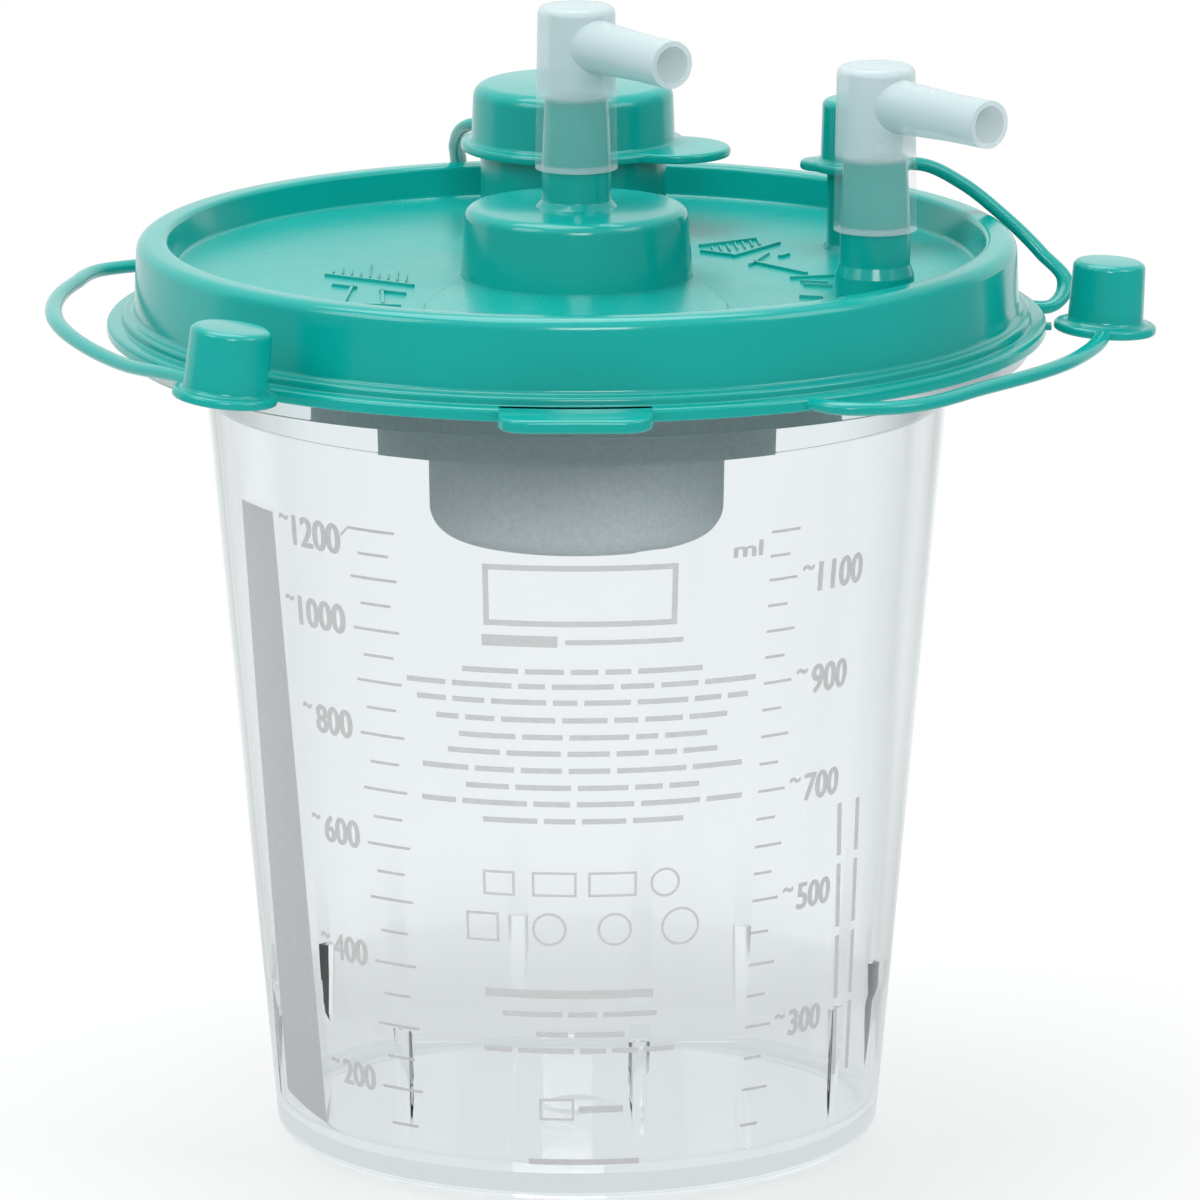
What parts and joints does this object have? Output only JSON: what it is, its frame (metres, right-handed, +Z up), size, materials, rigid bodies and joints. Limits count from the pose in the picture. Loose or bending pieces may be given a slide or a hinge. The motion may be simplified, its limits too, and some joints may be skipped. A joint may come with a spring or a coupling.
{
  "type": "suction canister",
  "caption": "Clear tapered jar with a press-on lid: pour spout, capped ports, swivel elbows for tubing and a filter cup under the lid.",
  "frame": {"origin": "centre of the foot ring on the table, on the jar's axis", "axes": "+Z up along the jar's axis, -Y towards the lift tab at the front, +X towards the patient port"},
  "size_m": [0.1933, 0.1746, 0.1993],
  "materials": {
    "clear_jar": "clear, glossy",
    "teal": "glossy",
    "frosted": "frosted, translucent",
    "porous": "matt, porous"
  },
  "bodies": {
    "jar": {"canister": "clear_jar"},
    "lid_assembly": {"lid": "teal", "filter_cup": "porous"},
    "elbow_vacuum": {"vacuum_elbow": "frosted"},
    "elbow_patient": {"patient_elbow": "frosted"},
    "cap_spout": {"pour_spout_cap": "teal", "spout_cap_strap": "teal"},
    "cap_tandem": {"tandem_cap": "teal", "tandem_cap_strap": "teal"},
    "cap_patient": {"patient_port_cap": "teal", "patient_cap_strap": "teal"},
    "cap_vacuum": {"vacuum_port_cap": "teal", "vacuum_cap_strap": "teal"}
  },
  "joints": [
    {"name": "lid_lift", "type": "slide", "parent": "jar", "child": "lid_assembly", "axis": [0, 0, 1], "range_m": [0, 0.06]},
    {"name": "vacuum_elbow_turn", "type": "hinge", "parent": "lid_assembly", "child": "elbow_vacuum", "pos_m": [0, -0.01, 0.17135], "axis": [0, 0, 1], "continuous": true},
    {"name": "patient_elbow_turn", "type": "hinge", "parent": "lid_assembly", "child": "elbow_patient", "pos_m": [0.0504, -0.03, 0.16445], "axis": [0, 0, 1], "continuous": true},
    {"name": "spout_cap_lift", "type": "slide", "parent": "lid_assembly", "child": "cap_spout", "axis": [0, 0, 1], "range_m": [0, 0.014], "deforming": ["spout_cap_strap"]},
    {"name": "tandem_cap_lift", "type": "slide", "parent": "lid_assembly", "child": "cap_tandem", "axis": [0, 0, 1], "range_m": [0, 0.014], "deforming": ["tandem_cap_strap"]},
    {"name": "patient_cap_swing", "type": "hinge", "parent": "lid_assembly", "child": "cap_patient", "pos_m": [-0.06924, 0.05218, 0.14255], "axis": [-0.9958, -0.0914, 0], "range_deg": [-45, 20], "stiffness_Nm_per_rad": 0.06, "deforming": ["patient_cap_strap"]},
    {"name": "vacuum_cap_swing", "type": "hinge", "parent": "lid_assembly", "child": "cap_vacuum", "pos_m": [0.04347, -0.07351, 0.14255], "axis": [0.8289, -0.5594, 0], "range_deg": [-45, 20], "stiffness_Nm_per_rad": 0.06, "deforming": ["vacuum_cap_strap"]}
  ]
}
